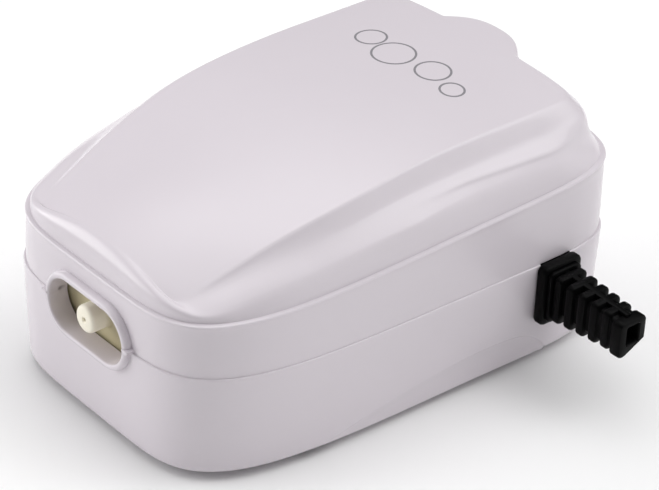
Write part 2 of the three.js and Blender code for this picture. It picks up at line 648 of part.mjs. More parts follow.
add('filter_cover', filterCover(), white());

export default pump;
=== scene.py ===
import math

import bmesh
import bpy
import numpy as np
from mathutils import Matrix, Vector


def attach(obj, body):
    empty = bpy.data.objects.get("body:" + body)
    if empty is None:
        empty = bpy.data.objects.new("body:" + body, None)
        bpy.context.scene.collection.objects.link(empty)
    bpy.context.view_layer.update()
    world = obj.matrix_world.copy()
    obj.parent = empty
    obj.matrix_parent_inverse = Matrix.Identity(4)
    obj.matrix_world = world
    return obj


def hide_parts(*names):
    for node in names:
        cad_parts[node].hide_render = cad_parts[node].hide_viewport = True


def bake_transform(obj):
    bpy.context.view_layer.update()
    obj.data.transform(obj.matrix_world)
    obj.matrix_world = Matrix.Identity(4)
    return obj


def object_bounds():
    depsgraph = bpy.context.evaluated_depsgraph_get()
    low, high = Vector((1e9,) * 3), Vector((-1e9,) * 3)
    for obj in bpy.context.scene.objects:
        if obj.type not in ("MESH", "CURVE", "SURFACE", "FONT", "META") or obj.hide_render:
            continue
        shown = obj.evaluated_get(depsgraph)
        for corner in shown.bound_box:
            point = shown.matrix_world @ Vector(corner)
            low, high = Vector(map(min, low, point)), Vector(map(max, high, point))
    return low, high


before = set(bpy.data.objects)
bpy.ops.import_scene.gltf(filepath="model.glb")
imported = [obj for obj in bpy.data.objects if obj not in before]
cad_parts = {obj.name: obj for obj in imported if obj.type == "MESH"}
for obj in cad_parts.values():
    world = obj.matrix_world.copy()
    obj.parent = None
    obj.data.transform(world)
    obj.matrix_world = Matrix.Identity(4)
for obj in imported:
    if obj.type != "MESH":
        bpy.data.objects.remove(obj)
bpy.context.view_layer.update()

MM = 0.001

# Lengths below are in millimetres, in the part's own frame: +Z up, +Y to the rear,
# the strain relief on the +X side. Meshes are scaled to metres when they are made.

# ---------- camera ----------

CAMERA_AZIMUTH = math.radians(48.45)
CAMERA_ELEVATION = math.radians(32.69)
CAMERA_ROLL = math.radians(2.48)
CAMERA_DISTANCE = 482.9
CAMERA_TARGET = Vector((3.72, 2.46, 18.26))
CAMERA_LENS = 141.4


def add_camera():
    level = math.cos(CAMERA_ELEVATION)
    back = Vector((
        math.sin(CAMERA_AZIMUTH) * level,
        -math.cos(CAMERA_AZIMUTH) * level,
        math.sin(CAMERA_ELEVATION),
    ))
    right = Vector((0, 0, 1)).cross(back).normalized()
    up = back.cross(right)
    rolled_right = right * math.cos(CAMERA_ROLL) + up * math.sin(CAMERA_ROLL)
    rolled_up = up * math.cos(CAMERA_ROLL) - right * math.sin(CAMERA_ROLL)
    data = bpy.data.cameras.new("camera")
    data.lens = CAMERA_LENS
    data.sensor_width = 36
    data.sensor_fit = "HORIZONTAL"
    data.clip_start = 0.01
    camera = bpy.data.objects.new("camera", data)
    turn = Matrix((rolled_right, rolled_up, back)).transposed()
    place = (CAMERA_TARGET + back * CAMERA_DISTANCE) * MM
    camera.matrix_world = Matrix.Translation(place) @ turn.to_4x4()
    bpy.context.scene.collection.objects.link(camera)
    bpy.context.scene.camera = camera


# ---------- meshes ----------

def build(name, *solids):
    """One mesh object, in metres, from (points, faces) pairs in millimetres."""
    points = []
    faces = []
    for solid_points, solid_faces in solids:
        first = len(points)
        points.extend(tuple(float(c) * MM for c in p) for p in solid_points)
        faces.extend([tuple(first + i for i in f) for f in solid_faces])
    mesh = bpy.data.meshes.new(name)
    mesh.from_pydata(points, [], faces)
    piece = bpy.data.objects.new(name, mesh)
    bpy.context.scene.collection.objects.link(piece)
    bm = bmesh.new()
    bm.from_mesh(mesh)
    bmesh.ops.recalc_face_normals(bm, faces=bm.faces)
    bm.to_mesh(mesh)
    bm.free()
    return piece


def apply_modifiers(piece):
    graph = bpy.context.evaluated_depsgraph_get()
    mesh = bpy.data.meshes.new_from_object(piece.evaluated_get(graph))
    piece.modifiers.clear()
    piece.data = mesh
    return piece


def boolean(piece, tool, operation):
    """Joins or cuts a piece with a tool, which is used up."""
    modifier = piece.modifiers.new("boolean", "BOOLEAN")
    modifier.object = tool
    modifier.operation = operation
    modifier.solver = "EXACT"
    apply_modifiers(piece)
    bpy.data.objects.remove(tool)
    return piece


def soften(piece, width, segments=2, angle=30):
    """Rounds every edge that is sharper than the angle."""
    modifier = piece.modifiers.new("bevel", "BEVEL")
    modifier.width = width * MM
    modifier.segments = segments
    modifier.limit_method = "ANGLE"
    modifier.angle_limit = math.radians(angle)
    modifier.use_clamp_overlap = True
    modifier.harden_normals = False
    return apply_modifiers(piece)


def shade(piece, angle=32):
    """Smooth faces, with the edges sharper than the angle kept crisp."""
    bm = bmesh.new()
    bm.from_mesh(piece.data)
    bmesh.ops.remove_doubles(bm, verts=bm.verts, dist=1e-7)
    bmesh.ops.dissolve_degenerate(bm, edges=bm.edges, dist=1e-7)
    limit = math.radians(angle)
    for face in bm.faces:
        face.smooth = True
    for edge in bm.edges:
        edge.smooth = len(edge.link_faces) == 2 and edge.calc_face_angle(0) < limit
    bm.to_mesh(piece.data)
    bm.free()
    return piece


def finish_piece(piece, material, slot, body, *nodes, angle=32):
    shade(piece, angle)
    piece.data.materials.clear()
    piece.data.materials.append(material)
    if nodes:
        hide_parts(*nodes)
    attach(piece, body)
    return piece


def loft(rings):
    """A closed solid through rings of the same number of points, each end closed by a fan."""
    rings = np.asarray(rings, float)
    count, steps = rings.shape[:2]
    points = list(rings.reshape(-1, 3))
    points.append(rings[0].mean(0))
    points.append(rings[-1].mean(0))
    start, end = len(points) - 2, len(points) - 1
    faces = []
    for i in range(steps):
        j = (i + 1) % steps
        for r in range(count - 1):
            faces.append((r * steps + i, r * steps + j, (r + 1) * steps + j, (r + 1) * steps + i))
        faces.append((start, j, i))
        faces.append((end, (count - 1) * steps + i, (count - 1) * steps + j))
    return points, faces


def tube(rings):
    """A closed ring-shaped solid: the last ring joins the first."""
    rings = np.asarray(rings, float)
    count, steps = rings.shape[:2]
    faces = []
    for r in range(count):
        s = (r + 1) % count
        for i in range(steps):
            j = (i + 1) % steps
            faces.append((r * steps + i, r * steps + j, s * steps + j, s * steps + i))
    return list(rings.reshape(-1, 3)), faces


def along(axis, first, second, height):
    """Puts section coordinates on the plane square to an axis: (y, z), (x, z) or (x, y)."""
    order = {
        "x": (height, first, second),
        "y": (first, height, second),
        "z": (first, second, height),
    }
    return np.stack(np.broadcast_arrays(*order[axis]), -1)


def turned(axis, centre, profile, steps=48):
    """A solid of revolution. The profile is (radius, height) points; it starts and ends on the
    axis, or comes back to its first point and makes a ring. centre is on the section plane."""
    angle = np.arange(steps) * 2 * math.pi / steps
    closed = profile[0] == profile[-1]
    body = profile[:-1] if closed else [p for p in profile if p[0] > 1e-6]
    rings = [
        along(axis, centre[0] + r * np.cos(angle), centre[1] + r * np.sin(angle), h)
        for r, h in body
    ]
    return tube(rings) if closed else loft(rings)


def round_box(x, y, z, radius=0.4, steps=4):
    """A box with round edges along z and softened top and bottom edges."""
    half = ((x[1] - x[0]) / 2, (y[1] - y[0]) / 2)
    middle = ((x[1] + x[0]) / 2, (y[1] + y[0]) / 2)
    rings = []
    for height, inset in ((z[0], 0.6), (z[0] + radius * 0.3, 0.2), (z[0] + radius, 0)):
        rings.append(rounded_section("z", middle, half, radius, height, inset * radius, steps))
    for height, inset in ((z[1] - radius, 0), (z[1] - radius * 0.3, 0.2), (z[1], 0.6)):
        rings.append(rounded_section("z", middle, half, radius, height, inset * radius, steps))
    return loft(rings)


def rounded_section(axis, middle, half, radius, height, inset=0, steps=6):
    """A rounded rectangle as a ring of points on the plane square to an axis."""
    radius = min(radius, half[0], half[1])
    first = []
    second = []
    corners = ((1, 1, 0), (-1, 1, 90), (-1, -1, 180), (1, -1, 270))
    for sign_a, sign_b, start in corners:
        for step in range(steps + 1):
            a = math.radians(start + 90 * step / steps)
            first.append(middle[0] + sign_a * (half[0] - radius) + (radius - inset) * math.cos(a))
            second.append(middle[1] + sign_b * (half[1] - radius) + (radius - inset) * math.sin(a))
    return along(axis, np.array(first), np.array(second), height)


def chaikin(rings, times):
    """Cuts the corners of a chain of rings, so that it becomes a smooth curve."""
    rings = np.asarray(rings, float)
    for _ in range(times):
        early = rings[:-1] * 0.75 + rings[1:] * 0.25
        late = rings[:-1] * 0.25 + rings[1:] * 0.75
        middle = np.stack((early, late), 1).reshape(-1, *rings.shape[1:])
        rings = np.concatenate((rings[:1], middle[1:-1], rings[-1:]))
    return rings


# ---------- materials ----------

def material(name, color, roughness, metallic=0.0, variation=0.04, mottle=120, grain=2500,
             bump=0.02, roughness_spread=0.05, coat=0.0, specular=0.5):
    """A moulded, rubber or metal finish: colour mottle, uneven gloss and a fine grain."""
    mat = bpy.data.materials.new(name)
    mat.use_nodes = True
    nodes = mat.node_tree.nodes
    link = mat.node_tree.links.new
    shader = nodes["Principled BSDF"]
    shader.inputs["Metallic"].default_value = metallic
    shader.inputs["Coat Weight"].default_value = coat
    shader.inputs["Coat Roughness"].default_value = 0.08
    shader.inputs["Specular IOR Level"].default_value = specular
    place = nodes.new("ShaderNodeTexCoord")

    clouds = nodes.new("ShaderNodeTexNoise")
    clouds.inputs["Scale"].default_value = mottle
    clouds.inputs["Detail"].default_value = 3
    link(place.outputs["Object"], clouds.inputs["Vector"])
    tint = nodes.new("ShaderNodeMix")
    tint.data_type = "RGBA"
    tint.inputs["A"].default_value = (*[c * (1 - variation) for c in color], 1)
    tint.inputs["B"].default_value = (*[min(1, c * (1 + variation)) for c in color], 1)
    link(clouds.outputs["Fac"], tint.inputs["Factor"])
    link(tint.outputs["Result"], shader.inputs["Base Color"])

    gloss = nodes.new("ShaderNodeMapRange")
    gloss.inputs["To Min"].default_value = max(0.02, roughness - roughness_spread)
    gloss.inputs["To Max"].default_value = roughness + roughness_spread
    link(clouds.outputs["Fac"], gloss.inputs["Value"])
    link(gloss.outputs["Result"], shader.inputs["Roughness"])

    fine = nodes.new("ShaderNodeTexNoise")
    fine.inputs["Scale"].default_value = grain
    fine.inputs["Detail"].default_value = 2
    link(place.outputs["Object"], fine.inputs["Vector"])
    relief = nodes.new("ShaderNodeBump")
    relief.inputs["Strength"].default_value = bump
    relief.inputs["Distance"].default_value = 0.0002
    link(fine.outputs["Fac"], relief.inputs["Height"])
    link(relief.outputs["Normal"], shader.inputs["Normal"])
    return mat


def layer_lines(mat, axis, spacing, depth):
    """Adds fine parallel lines across an axis, as the edges of stacked sheets show."""
    nodes = mat.node_tree.nodes
    link = mat.node_tree.links.new
    place = nodes.new("ShaderNodeTexCoord")
    wave = nodes.new("ShaderNodeTexWave")
    wave.bands_direction = axis
    wave.inputs["Scale"].default_value = math.pi / 10 / (spacing * MM)
    wave.inputs["Distortion"].default_value = 0.4
    wave.inputs["Detail Scale"].default_value = 3
    link(place.outputs["Object"], wave.inputs["Vector"])
    relief = nodes["Bump"]
    second = nodes.new("ShaderNodeBump")
    second.inputs["Strength"].default_value = depth
    second.inputs["Distance"].default_value = 0.0002
    link(wave.outputs["Fac"], second.inputs["Height"])
    link(relief.outputs["Normal"], second.inputs["Normal"])
    link(second.outputs["Normal"], nodes["Principled BSDF"].inputs["Normal"])
    return mat


# A generic mark printed on the lid: a row of bubbles, as (x, y, radius).
BUBBLES = ((-12.0, 24.6, 3.0), (-4.2, 23.4, 4.2), (5.2, 24.8, 3.4), (12.2, 23.2, 2.3))
BUBBLE_LINE = 0.45
PRINT_ABOVE_Z = 40


def printed_bubbles(mat, ink):
    """Prints the bubble rings in an ink colour on the faces that look up."""
    nodes = mat.node_tree.nodes
    link = mat.node_tree.links.new
    shader = nodes["Principled BSDF"]
    plain = shader.inputs["Base Color"].links[0].from_socket
    place = nodes.new("ShaderNodeTexCoord")
    flat = nodes.new("ShaderNodeSeparateXYZ")
    link(place.outputs["Object"], flat.inputs["Vector"])
    level = nodes.new("ShaderNodeCombineXYZ")
    link(flat.outputs["X"], level.inputs["X"])
    link(flat.outputs["Y"], level.inputs["Y"])

    def math_node(operation, a, b=0.0):
        node = nodes.new("ShaderNodeMath")
        node.operation = operation
        for socket, value in zip(node.inputs, (a, b)):
            if isinstance(value, float):
                socket.default_value = value
            else:
                link(value, socket)
        return node.outputs[0]

    mask = None
    for x, y, radius in BUBBLES:
        apart = nodes.new("ShaderNodeVectorMath")
        apart.operation = "DISTANCE"
        link(level.outputs["Vector"], apart.inputs[0])
        apart.inputs[1].default_value = (x * MM, y * MM, 0)
        off_ring = math_node("ABSOLUTE", math_node("SUBTRACT", apart.outputs["Value"], radius * MM))
        ring = math_node("LESS_THAN", off_ring, BUBBLE_LINE / 2 * MM)
        mask = ring if mask is None else math_node("MAXIMUM", mask, ring)
    on_top = math_node("GREATER_THAN", flat.outputs["Z"], PRINT_ABOVE_Z * MM)
    mask = math_node("MULTIPLY", mask, on_top)
    print_mix = nodes.new("ShaderNodeMix")
    print_mix.data_type = "RGBA"
    print_mix.inputs["B"].default_value = (*ink, 1)
    link(mask, print_mix.inputs["Factor"])
    link(plain, print_mix.inputs["A"])
    link(print_mix.outputs["Result"], shader.inputs["Base Color"])
    return mat


def painted_light_forward(mat, color, plain_y, pale_y):
    """Blends the colour to a paler one between two positions along Y: painted light on what stands
    forward out of shade.
    """
    nodes = mat.node_tree.nodes
    link = mat.node_tree.links.new
    shader = nodes["Principled BSDF"]
    plain = shader.inputs["Base Color"].links[0].from_socket
    place = nodes.new("ShaderNodeTexCoord")
    split = nodes.new("ShaderNodeSeparateXYZ")
    link(place.outputs["Object"], split.inputs["Vector"])
    blend = nodes.new("ShaderNodeMapRange")
    blend.inputs["From Min"].default_value = plain_y * MM
    blend.inputs["From Max"].default_value = pale_y * MM
    link(split.outputs["Y"], blend.inputs["Value"])
    mix = nodes.new("ShaderNodeMix")
    mix.data_type = "RGBA"
    mix.inputs["B"].default_value = (*color, 1)
    link(blend.outputs["Result"], mix.inputs["Factor"])
    link(plain, mix.inputs["A"])
    link(mix.outputs["Result"], shader.inputs["Base Color"])
    return mat


WHITE_COLOR = (0.69, 0.64, 0.685)
NOZZLE_PAINTED_LIGHT_Y = (-46.7, -48.2)
white = material("white_plastic", WHITE_COLOR, 0.25, variation=0.012, mottle=60, bump=0.03,
                 roughness_spread=0.03, coat=0.06)
lid_white = printed_bubbles(
    material("lid_plastic", WHITE_COLOR, 0.25, variation=0.012, mottle=60, bump=0.03,
             roughness_spread=0.03, coat=0.06),
    ink=(0.27, 0.26, 0.28))
# Painted light: the nozzle's tip is painted paler towards the front, where it stands out of the
# shaded port.
cream = painted_light_forward(
    material("cream_plastic", (0.58, 0.52, 0.33), 0.42, variation=0.08, mottle=300, bump=0.06),
    (0.93, 0.88, 0.74), *NOZZLE_PAINTED_LIGHT_Y)
nylon = material("natural_nylon", (0.72, 0.69, 0.6), 0.45, variation=0.05, mottle=200, bump=0.05)
black_rubber = material("black_rubber", (0.002, 0.002, 0.0022), 0.34, variation=0.25, mottle=350,
                        grain=4000, bump=0.08, roughness_spread=0.06, specular=0.06)
grey_rubber = material("grey_rubber", (0.09, 0.09, 0.095), 0.7, variation=0.15, mottle=400,
                       grain=4000, bump=0.2, roughness_spread=0.1)
zinc = material("zinc_steel", (0.62, 0.63, 0.64), 0.3, 1.0, variation=0.06, mottle=500, bump=0.04)
brass = material("brass", (0.72, 0.52, 0.2), 0.3, 1.0, variation=0.08, mottle=500, bump=0.04)
ferrite = material("ferrite", (0.05, 0.05, 0.055), 0.6, variation=0.2, mottle=800, bump=0.25)
felt = material("felt", (0.66, 0.66, 0.62), 0.95, variation=0.15, mottle=1500, grain=6000,
                bump=0.9, roughness_spread=0.04)
core_steel = layer_lines(
    material("core_laminations", (0.32, 0.33, 0.35), 0.4, 1.0, variation=0.12, mottle=300,
             bump=0.1), "Z", 0.5, 0.6)
copper = material("enamelled_copper", (0.45, 0.13, 0.045), 0.28, 0.7, variation=0.15, mottle=700,
                  bump=0.05, coat=0.4)


# ---------- housing outlines ----------

HALF = 50.0
WALL = 2.0
FLOOR = 2.2
PARTING_Z = 20.9
PARTING_GAP = 0.01
COVER_RIM_INSET = 0.36
LIP = 0.9
LIP_PLAY = 0.2
BELT_FRONT_Z = 31.2
BELT_RISE = 5.3
BELT_INSET = 0.55
SQUARENESS = 5.6
PANEL_SQUARENESS = 20
PANEL_HALF_WIDTH = 26.0
PANEL_TAPER = 0.17
PANEL_TAPER_Y = -14.0
PANEL_FRONT_Y = -46.5
PANEL_REAR_Y = 41.5
CREST_REAR_Z = 47.1
CREST_DROP = 15.0
CREST_LEVEL_Y = 20.0
CREST_REACH = 68.0
CREST_POWER = 2.4
CROWN = 1.6
FRONT_CROWN = 2.7
TONGUE_REACH = 4.8
TONGUE_HALF_WIDTH = 10.0
STEPS = 400

angles = np.arange(STEPS) * 2 * math.pi / STEPS


def smoothstep(low, high, value):
    t = np.clip((value - low) / (high - low), 0, 1)
    return t * t * (3 - 2 * t)


def unit_ring(power):
    c, s = np.cos(angles), np.sin(angles)
    k = (np.abs(c) ** power + np.abs(s) ** power) ** (-1 / power)
    return c * k, s * k


def outline(inset):
    """The housing's outline in plan, drawn in by an inset that may differ round the ring."""
    u, v = unit_ring(SQUARENESS)
    half_width = 34.6 + 1.46 * v - 0.68 * v ** 2 + 2.85 * v ** 3
    return u * half_width * (1 - inset / 35), v * HALF * (1 - inset / HALF)


def ring(xy, z):
    return np.stack(np.broadcast_arrays(xy[0], xy[1], z), -1)


def belt_z(y):
    return BELT_FRONT_Z + BELT_RISE * (y / (2 * HALF) + 0.5)


def crest_z(y):
    """Height of the panel's side edges: level at the rear, falling ever faster to the front."""
    ahead = np.clip((CREST_LEVEL_Y - y) / CREST_REACH, 0, None)
    return CREST_REAR_Z - CREST_DROP * ahead ** CREST_POWER


def panel_half_width(y):
    ahead = 3 * np.logaddexp(0, (PANEL_TAPER_Y - y) / 3)
    return PANEL_HALF_WIDTH - PANEL_TAPER * ahead


def top_z(x, y):
    crown = CROWN + FRONT_CROWN * smoothstep(-20, -47, y)
    return crest_z(y) + crown * (1 - (x / panel_half_width(y)) ** 2)


def panel(inset, scale=1.0):
    """The raised panel's edge, with the rounded tongue at its rear, shrunk about its middle."""
    u, v = unit_ring(PANEL_SQUARENESS)
    middle = (PANEL_FRONT_Y + PANEL_REAR_Y) / 2
    half_length = (PANEL_REAR_Y - PANEL_FRONT_Y) / 2 - inset
    y = middle + v * half_length
    x = u * (panel_half_width(y) - inset)
    lobe = np.clip(1 - np.abs(x / TONGUE_HALF_WIDTH) ** 2.6, 0, 1)
    y = y + np.where(v > 0, TONGUE_REACH * lobe * np.abs(v) ** 8, 0)
    return x * scale, middle + (y - middle) * scale


def panel_ring(inset, scale=1.0, drop=0.0):
    x, y = panel(inset, scale)
    return ring((x, y), top_z(x, y) - drop)


# ---------- top cover ----------

LEDGE_WIDTH = 0.66


# Control points of the cover between the belt and the panel's edge, as (share of the way in,
# share of the rise). The front is one rounded band. The flanks have a shoulder, a ledge that
# turns into a fine crease, a flute and a step up to the panel. The rear has a bevel and a step.
FRONT_PROFILE = ((0, 0), (0, 0.2), (0.005, 0.38), (0.03, 0.5), (0.09, 0.61), (0.17, 0.69),
                 (0.27, 0.76), (0.4, 0.83), (0.52, 0.88), (0.64, 0.92), (0.76, 0.95), (0.88, 0.978),
                 (1, 1))
FLANK_STATIONS = (-42, -24, -2, 12, 36)
FLANK_PROFILES = (
    ((0, 0), (0.02, 0.1), (0.05, 0.2), (0.09, 0.29), (0.14, 0.385), (0.2, 0.47), (0.28, 0.565),
     (0.4, 0.66), (0.55, 0.735), (0.7, 0.785), (0.82, 0.825), (0.92, 0.885), (1, 1)),
    ((0, 0), (0.01, 0.1), (0.03, 0.19), (0.06, 0.27), (0.11, 0.356), (0.17, 0.425), (0.24, 0.484),
     (0.36, 0.555), (0.48, 0.61), (0.6, 0.67), (0.72, 0.74), (0.88, 0.87), (1, 1)),
    ((0, 0), (0.015, 0.1), (0.04, 0.21), (0.07, 0.32), (0.1, 0.4), (0.13, 0.45), (0.17, 0.475),
     (0.35, 0.56), (0.5, 0.63), (0.65, 0.69), (0.75, 0.737), (0.91, 0.92), (1, 1)),
    ((0, 0), (0.02, 0.1), (0.05, 0.2), (0.095, 0.3), (0.15, 0.385), (0.22, 0.45), (0.31, 0.505),
     (0.41, 0.56), (0.45, 0.605), (0.58, 0.655), (0.73, 0.72), (0.89, 0.88), (1, 1)),
    ((0, 0), (0.015, 0.08), (0.04, 0.16), (0.08, 0.25), (0.13, 0.33), (0.18, 0.385), (0.225, 0.43),
     (0.265, 0.47), (0.285, 0.53), (0.46, 0.61), (0.66, 0.7), (0.83, 0.86), (1, 1)),
)
REAR_PROFILE = ((0, 0), (0.04, 0.05), (0.11, 0.12), (0.18, 0.185), (0.24, 0.25), (0.3, 0.33),
                (0.35, 0.41), (0.39, 0.51), (0.44, 0.62), (0.52, 0.72), (0.64, 0.79), (0.81, 0.89),
                (1, 1))
TONGUE_PROFILE = ((0, 0), (0.05, 0.08), (0.15, 0.17), (0.27, 0.24), (0.4, 0.3), (0.52, 0.35),
                  (0.63, 0.4), (0.72, 0.47), (0.79, 0.56), (0.85, 0.68), (0.9, 0.8), (0.95, 0.91),
                  (1, 1))


def flank_control(x, y):
    """The control points round the whole ring, each as a pair of rings of shares."""
    from_front = np.degrees(np.abs(np.arctan2(np.cos(angles), -np.sin(angles))))
    side = smoothstep(42, 52, from_front)
    rear = smoothstep(123, 134, from_front)
    tongue = 1 - smoothstep(15, 25, np.abs(x))
    control = []
    for i, front_point in enumerate(FRONT_PROFILE):
        shares = []
        for k in (0, 1):
            flank = np.interp(y, FLANK_STATIONS, [profile[i][k] for profile in FLANK_PROFILES])
            share = front_point[k] * (1 - side) + flank * side
            behind = REAR_PROFILE[i][k] * (1 - tongue) + TONGUE_PROFILE[i][k] * tongue
            shares.append(share * (1 - rear) + behind * rear)
        control.append(shares)
    return control


def flank_rings():
    """The control points as rings, from the ledge behind the belt up to the panel's edge."""
    edge = outline(BELT_INSET + LEDGE_WIDTH)
    start = ring(edge, belt_z(edge[1]) + 0.1)
    crest = panel_ring(0)
    rings = []
    for inward, upward in flank_control(start[:, 0], start[:, 1]):
        xy = start[:, :2] + (crest[:, :2] - start[:, :2]) * inward[:, None]
        z = start[:, 2] + (crest[:, 2] - start[:, 2]) * upward
        rings.append(ring((xy[:, 0], xy[:, 1]), z))
    return rings


def cover_outside():
    """Rings from the parting line up the wall, over the belt and the flanks to the panel."""
    rim_z = PARTING_Z + PARTING_GAP
    rings = [
        ring(outline(0.75), rim_z),
        ring(outline(COVER_RIM_INSET), rim_z),
    ]
    wall_y = outline(0)[1]
    for share in (0.08, 0.15, 0.3, 0.45, 0.6, 0.75, 0.88):
        inset = COVER_RIM_INSET + (BELT_INSET - COVER_RIM_INSET) * share ** 1.6
        rings.append(ring(outline(inset), rim_z + (belt_z(wall_y) - rim_z) * share))
    edge = outline(BELT_INSET)
    belt = belt_z(edge[1])
    rings += [
        ring(outline(BELT_INSET - 0.1), belt - 0.65),
        ring(outline(BELT_INSET - 0.17), belt - 0.4),
        ring(outline(BELT_INSET - 0.13), belt - 0.22),
        ring(outline(BELT_INSET - 0.02), belt - 0.07),
        ring(outline(BELT_INSET + 0.18), belt + 0.02),
        ring(outline(BELT_INSET + 0.42), belt + 0.06),
    ]
    smooth = chaikin(flank_rings() + [panel_ring(0.8), panel_ring(1.8)], 2)
    scales = (0.93, 0.82, 0.7, 0.56, 0.42, 0.28, 0.14, 0.04)
    panel_rings = [panel_ring(1.8, scale) for scale in scales]
    return np.concatenate((rings, smooth, panel_rings))


def cover_inside():
    """Rings of the hollow, from the middle of its roof down to the rebate over the base's lip."""
    rim_z = PARTING_Z + PARTING_GAP
    rings = [panel_ring(WALL, scale, WALL) for scale in (0.04, 0.3, 0.6, 0.85, 1.0)]
    flanks = flank_rings()
    shrink = np.array((1 - WALL / 35, 1 - WALL / HALF, 1))
    for i in (11, 9, 7, 5, 3, 1):
        rings.append(flanks[i] * shrink - (0, 0, 0.7 * WALL))
    rings += [
        ring(outline(WALL + 0.2), rim_z + 3),
        ring(outline(WALL + 0.1), rim_z + LIP + LIP_PLAY),
        ring(outline(1.05), rim_z + LIP + LIP_PLAY),
        ring(outline(0.95), rim_z),
    ]
    return np.array(rings)


PORT_HALF = (10.9, 5.4)
PORT_Z = 21.0
PORT_RIM = 1.3
COLLAR_FRONT_Y = -51.0
COLLAR_BACK_Y = -46.8
SCREW_PLACES = ((28.8, -24.0), (-28.8, -24.0), (27.0, 42.0), (-27.0, 42.0))


def port_section(grow, y, inset=0.0):
    half = (PORT_HALF[0] + grow, PORT_HALF[1] + grow)
    return rounded_section("y", (0, PORT_Z), half, half[1], y, inset, steps=16)


def collar_ring():
    """The whole raised collar round the port, with soft outer and inner edges."""
    front, back = COLLAR_FRONT_Y, COLLAR_BACK_Y
    round_off = ((0.0, 1.0), (0.06, 0.6), (0.2, 0.3), (0.42, 0.1), (0.7, 0.0))
    outer = [port_section(PORT_RIM, back)]
    outer += [port_section(PORT_RIM - drawn, front + deep) for drawn, deep in round_off]
    inner = [port_section(drawn / 2, front + deep / 2) for drawn, deep in reversed(round_off)]
    inner += [port_section(0, back)]
    return tube(outer + inner)


def half_space(z0, z1):
    return round_box((-80, 80), (-80, 80), (z0, z1), radius=0.01, steps=1)


def collar_half(name, z0, z1):
    return boolean(build(name, collar_ring()), build(name + "_keep", half_space(z0, z1)), "INTERSECT")


def port_cutter():
    return loft([port_section(0, -56), port_section(0, -44)])


def cylinder(axis, centre, radius, low, high, steps=32):
    return turned(axis, centre, [(0, low), (radius, low), (radius, high), (0, high)], steps)


def keep_inside(piece, solid):
    return boolean(piece, build(piece.name + "_keep", solid), "INTERSECT")


def make_cover():
    cover = build("cover_shell", loft(np.concatenate((cover_inside(), cover_outside()))))
    under_skin = cover_outside()[4:] * (0.985, 0.985, 1) - (0, 0, 0.6)
    below_rim = [ring(outline(WALL + 0.35), z) for z in (15.0, 21.5)]
    outer_skin = loft(np.concatenate((below_rim, [ring(outline(1.2), 21.6)], under_skin)))
    bosses = build("cover_bosses", *[cylinder("z", p, 3.2, 18.3, 47.5) for p in SCREW_PLACES])
    boolean(cover, keep_inside(bosses, outer_skin), "UNION")
    boolean(cover, collar_half("collar_upper", PARTING_Z + PARTING_GAP, 60), "UNION")
    for side in (-1, 1):
        lug_x = sorted((side * (PORT_HALF[0] + 0.25), side * (PORT_HALF[0] + PORT_RIM + 0.7)))
        lug_z = (PARTING_Z + PARTING_GAP, PARTING_Z + 0.62)
        lug = round_box(lug_x, (COLLAR_FRONT_Y - 0.2, -48), lug_z, 0.22)
        boolean(cover, build("collar_lug", lug), "UNION")
    holes = [cylinder("z", p, 1.35, 17, 30, 20) for p in SCREW_PLACES]
    boolean(cover, build("cover_holes", port_cutter(), *holes), "DIFFERENCE")
    return finish_piece(cover, lid_white, "housing_white", "housing", "top_cover", angle=24)


# ---------- base ----------

BASE_DRAFT = 0.6
FEET = ((19.0, -38.0), (-19.0, -38.0), (17.0, 40.0), (-17.0, 40.0))
FILTER = (-20.0, 8.0)
FILTER_R = 7.0
CORE_SCREWS = ((-8.2, 36.9), (20.2, 36.9))
CHAMBER_SCREWS = ((-15.3, -38.0), (-15.3, -16.0))
BRACKET_SCREW = (23.1, -39.0)
SLOT_Y = (26.4, 34.0)
SLOT_BOTTOM_Z = 9.5


GRIP_FRONT_Y = -26.0
GRIP_TOP_Y = 12.0
GRIP_REAR_Y = 30.8
GRIP_TOP_Z = 6.7


def grip_edge(y):
    """Height of the upper edge of the shallow grip low on each side: one long swoosh that
    rises from the bottom edge towards the rear and ends in a round drop."""
    ahead = np.clip((GRIP_TOP_Y - y) / (GRIP_TOP_Y - GRIP_FRONT_Y), 0, 1) ** 1.7
    behind = np.clip((y - GRIP_TOP_Y) / (GRIP_REAR_Y - GRIP_TOP_Y), 0, 1) ** 4.5
    return np.clip(GRIP_TOP_Z * (1 - ahead - behind), 0.5, None)


def base_ring(z):
    """The base's outside at a height that may differ round the ring, with the grip set in."""
    rim_z = PARTING_Z - PARTING_GAP
    inset = BASE_DRAFT * np.clip(1 - z / rim_z, 0, 1) ** 1.3
    x, y = outline(inset)
    gripped = smoothstep(GRIP_FRONT_Y, -12, y) * (y < GRIP_REAR_Y) * smoothstep(20, 26, np.abs(x))
    corner = 1.5 - 1.1 * gripped
    under = 1 - np.clip(1 - z / corner, 0, 1) ** 2
    below_edge = grip_edge(y) - z
    depth = 0.2 * smoothstep(-0.02, 0.2, below_edge) + 0.35 * smoothstep(-0.02, 2.4, below_edge)
    return ring(outline(inset + corner * (1 - np.sqrt(under)) + gripped * depth), z)


def base_outside():
    """Rings from the rim down the wall and round the bottom edge to the underside's middle.
    Those below the middle of the wall follow the edge of the grip."""
    rim_z = PARTING_Z - PARTING_GAP
    rings = [
        ring(outline(0.8), rim_z),
        ring(outline(COVER_RIM_INSET), rim_z),
        ring(outline(0.17), rim_z - 0.04),
        ring(outline(0.05), rim_z - 0.14),
        ring(outline(0.0), rim_z - 0.32),
    ]
    rings += [base_ring(np.full(STEPS, z)) for z in np.linspace(rim_z - 1.0, 8.2, 8)]
    edge = grip_edge(outline(BASE_DRAFT)[1])
    rings += [base_ring(edge + rise) for rise in (1.6, 0.6, 0.2, 0.03, -0.1, -0.2, -0.33)]
    shares = (0.85, 0.7, 0.55, 0.4, 0.28, 0.18, 0.1, 0.04)
    rings += [base_ring((edge - 0.33) * share) for share in shares]
    for inset in (2.2, 4.5, 9, 16, 24, 31):
        rings.append(ring(outline(inset), 0.0))
    return np.array(rings)


